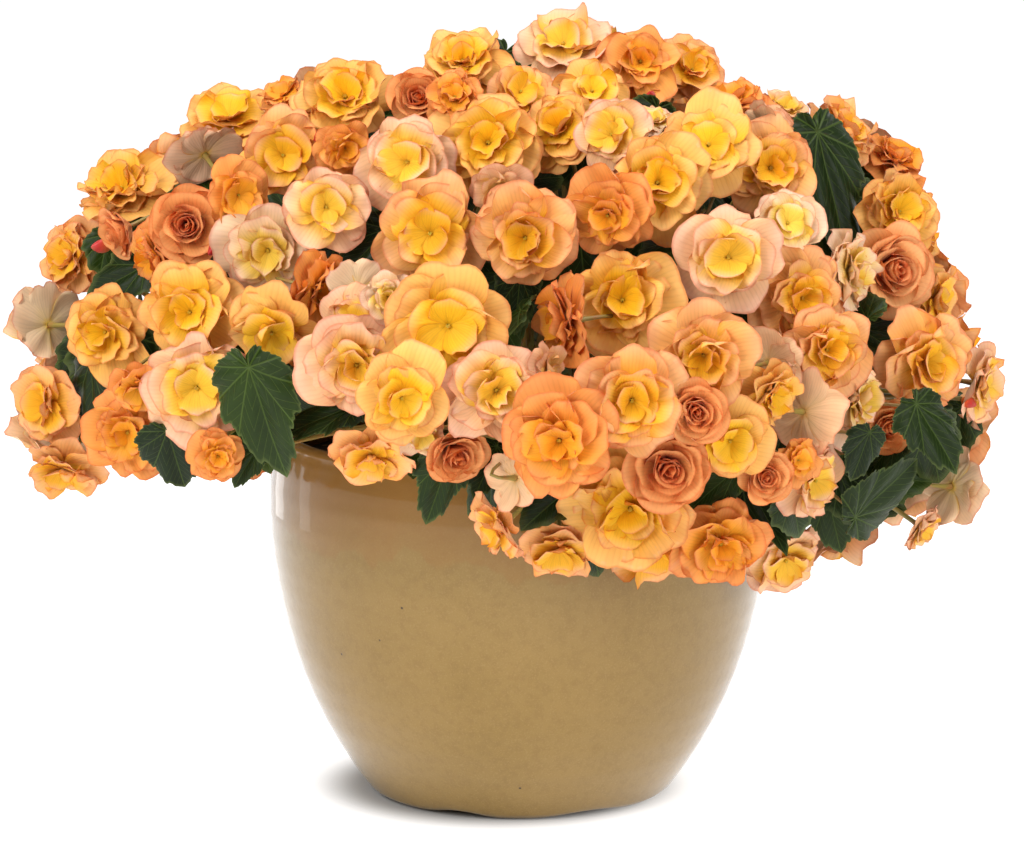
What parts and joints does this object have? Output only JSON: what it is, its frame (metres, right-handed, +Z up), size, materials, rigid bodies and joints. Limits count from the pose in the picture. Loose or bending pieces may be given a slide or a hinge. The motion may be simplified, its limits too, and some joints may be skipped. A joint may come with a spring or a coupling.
{
  "type": "potted begonia",
  "caption": "Bushy begonia with a dome of ruffled apricot and yellow double blooms over toothed dark leaves, in a round glazed pot.",
  "frame": {"origin": "centre of the pot's flat foot, on the surface the pot stands on", "axes": "+Z up, -Y towards the viewer of the front, +X to that viewer's right"},
  "size_m": [0.6289, 0.609, 0.5053],
  "materials": {
    "glaze": "glossy tan glaze, mottled, ivory at the edges",
    "soil": "moist dark potting soil",
    "leaf": "semi-gloss dark green leaf with paler veins",
    "apricot": "soft translucent petal, apricot to orange",
    "peach": "soft translucent petal, peach to yellow"
  },
  "bodies": {
    "root": {"pot": "glaze", "soil": "soil", "leafy_stem_01": "leaf", "leafy_stem_02": "leaf", "leafy_stem_03": "leaf", "leafy_stem_04": "leaf", "leafy_stem_05": "leaf", "leafy_stem_06": "leaf", "leafy_stem_07": "leaf", "leafy_stem_08": "leaf", "leafy_stem_09": "leaf", "leafy_stem_10": "leaf", "leafy_stem_11": "leaf", "leafy_stem_12": "leaf", "flower_spray_01": "peach", "flower_spray_02": "apricot", "flower_spray_03": "apricot", "flower_spray_04": "peach", "flower_spray_05": "apricot", "flower_spray_06": "apricot", "flower_spray_07": "peach", "flower_spray_08": "apricot", "flower_spray_09": "apricot", "flower_spray_10": "peach", "flower_spray_11": "apricot", "flower_spray_12": "apricot", "flower_spray_13": "peach", "flower_spray_14": "apricot", "flower_spray_15": "apricot", "flower_spray_16": "peach", "flower_spray_17": "apricot", "flower_spray_18": "apricot", "flower_spray_19": "peach", "flower_spray_20": "apricot", "flower_spray_21": "apricot", "flower_spray_22": "peach", "flower_spray_23": "apricot", "flower_spray_24": "apricot", "flower_spray_25": "peach", "flower_spray_26": "apricot", "flower_spray_27": "apricot", "flower_spray_28": "peach", "flower_spray_29": "apricot", "flower_spray_30": "apricot", "flower_spray_31": "peach", "flower_spray_32": "apricot", "flower_spray_33": "apricot", "flower_spray_34": "peach", "flower_spray_35": "apricot", "flower_spray_36": "apricot", "flower_spray_37": "peach", "flower_spray_38": "apricot", "flower_spray_39": "apricot", "flower_spray_40": "peach", "flower_spray_41": "apricot"}
  },
  "joints": []
}
